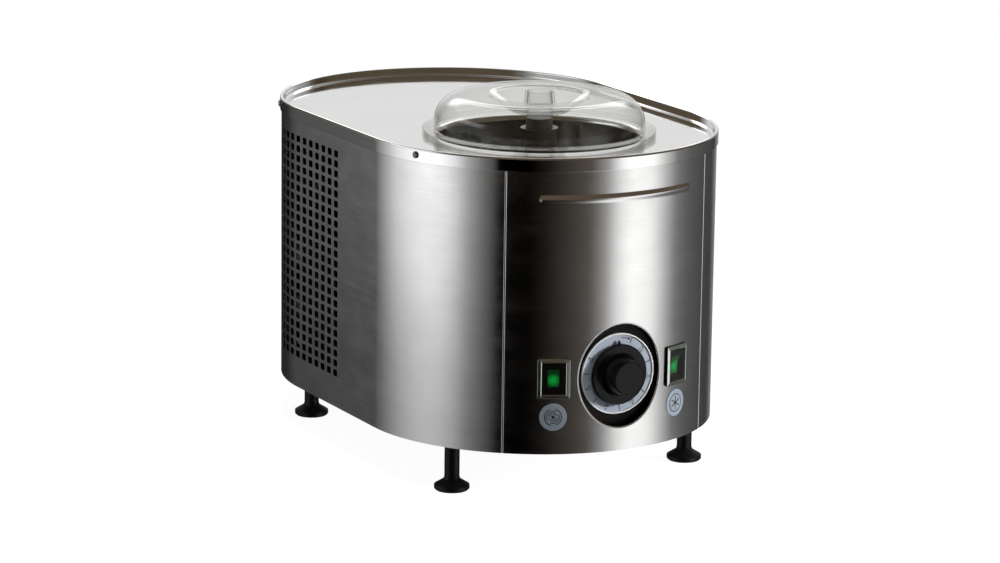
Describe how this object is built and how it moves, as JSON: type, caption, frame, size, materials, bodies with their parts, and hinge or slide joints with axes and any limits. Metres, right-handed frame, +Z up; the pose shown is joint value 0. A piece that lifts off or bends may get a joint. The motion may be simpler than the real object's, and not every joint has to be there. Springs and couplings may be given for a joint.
{
  "type": "countertop slush and ice-cream freezer",
  "caption": "Countertop batch freezer: stadium-shaped stainless casing with vents, fixed bowl under a clear domed lid, driven paddle, timer dial and lit rocker switches.",
  "frame": {"origin": "middle of the footprint on the surface the feet stand on", "axes": "+Z up, front with dial and switches faces -Y, +X to the right seen from the front"},
  "size_m": [0.3, 0.4634, 0.3124],
  "materials": {
    "stainless_brushed": "brushed, satin",
    "stainless_polished": "polished",
    "galvanised": "galvanised",
    "steel": "machined",
    "black_plastic": "moulded, fine texture",
    "black_gloss": "gloss",
    "clear_lid": "clear moulded acrylic",
    "clear_cover": "clear",
    "green_lens": "translucent",
    "dial_grey": "printed satin",
    "dial_white": "gloss",
    "badge_grey": "printed",
    "gear_nylon": "moulded nylon",
    "bronze": "sintered",
    "copper": "drawn tube",
    "brass_pins": "plated",
    "black_steel": "black enamel",
    "cast": "die cast",
    "rubber": "matt",
    "foam": "cut foam",
    "white_plastic": "moulded"
  },
  "bodies": {
    "machine": {"top_tray": "stainless_polished", "tray_screws": "steel", "side_casing": "stainless_brushed", "front_panel": "stainless_brushed", "base_plate": "galvanised", "foot_front_left": "black_plastic", "foot_front_right": "black_plastic", "foot_rear_left": "black_plastic", "foot_rear_right": "black_plastic", "foot_nuts": "steel", "bowl": "stainless_polished", "evaporator_coil": "copper", "bowl_insulation": "foam", "bowl_bush": "bronze", "shaft_seal": "rubber", "gearbox_housing": "cast", "gearbox_cover": "cast", "gearbox_screws": "steel", "spindle_bearings": "bronze", "intermediate_shaft": "steel", "drive_motor": "black_steel", "motor_end_cap": "cast", "dial_bracket": "black_steel", "dial_plate": "dial_grey", "dial_ring": "dial_white", "timer_body": "black_plastic", "compressor_shell": "black_steel", "compressor_grommets": "rubber", "start_relay": "black_plastic", "run_capacitor": "white_plastic", "condenser_fins": "black_steel", "condenser_tubes": "black_steel", "fan_shroud": "galvanised", "fan_motor": "black_steel", "filter_drier": "copper", "refrigerant_pipes": "copper", "power_inlet": "black_plastic", "inlet_pins": "brass_pins", "left_switch_body": "black_gloss", "left_switch_cover": "clear_cover", "left_badge": "badge_grey", "right_switch_body": "black_gloss", "right_switch_cover": "clear_cover", "right_badge": "badge_grey"},
    "agitator": {"drive_spindle": "steel", "output_gear": "gear_nylon", "paddle_hub": "black_plastic", "paddle_blades": "stainless_polished"},
    "hub_nut": {"paddle_nut": "black_plastic"},
    "lay_gear": {"intermediate_gear": "gear_nylon"},
    "motor_drive": {"motor_rotor": "steel", "motor_pinion": "steel"},
    "fan": {"fan_blade": "black_plastic"},
    "lid": {"lid": "clear_lid"},
    "timer_dial": {"timer_knob": "black_plastic", "timer_shaft": "steel"},
    "left_rocker": {"left_switch_rocker": "black_gloss", "left_switch_lens": "green_lens"},
    "right_rocker": {"right_switch_rocker": "black_gloss", "right_switch_lens": "green_lens"}
  },
  "joints": [
    {"name": "spindle_spin", "type": "hinge", "parent": "machine", "child": "agitator", "pos_m": [0, -0.07275, 0.13], "axis": [0, 0, 1], "continuous": true},
    {"name": "lay_gear_spin", "type": "hinge", "parent": "machine", "child": "lay_gear", "pos_m": [0, -0.01475, 0.13], "axis": [0, 0, 1], "continuous": true},
    {"name": "motor_spin", "type": "hinge", "parent": "machine", "child": "motor_drive", "pos_m": [0.04027, 0.0085, 0.1], "axis": [0, 0, 1], "continuous": true},
    {"name": "nut_turn", "type": "hinge", "parent": "agitator", "child": "hub_nut", "pos_m": [0, -0.07275, 0.286], "axis": [0, 0, 1], "continuous": true},
    {"name": "fan_spin", "type": "hinge", "parent": "machine", "child": "fan", "pos_m": [-0.096, 0.04725, 0.116], "axis": [1, 0, 0], "continuous": true},
    {"name": "lid_lift", "type": "slide", "parent": "machine", "child": "lid", "axis": [0, 0, 1], "range_m": [0, 0.08]},
    {"name": "timer_turn", "type": "hinge", "parent": "machine", "child": "timer_dial", "pos_m": [0, -0.21075, 0.103], "axis": [0, 1, 0], "range_deg": [0, 300]},
    {"name": "left_rocker_tilt", "type": "hinge", "parent": "machine", "child": "left_rocker", "pos_m": [-0.05533, -0.20399, 0.104], "axis": [-0.9245, 0.3811, 0], "range_deg": [0, 16]},
    {"name": "right_rocker_tilt", "type": "hinge", "parent": "machine", "child": "right_rocker", "pos_m": [0.05533, -0.20399, 0.104], "axis": [-0.9245, -0.3811, 0], "range_deg": [0, 16]}
  ],
  "couplings": [
    {"joint": "lay_gear_spin", "follows": "spindle_spin", "ratio": -3.1429},
    {"joint": "motor_spin", "follows": "spindle_spin", "ratio": 13.095}
  ]
}
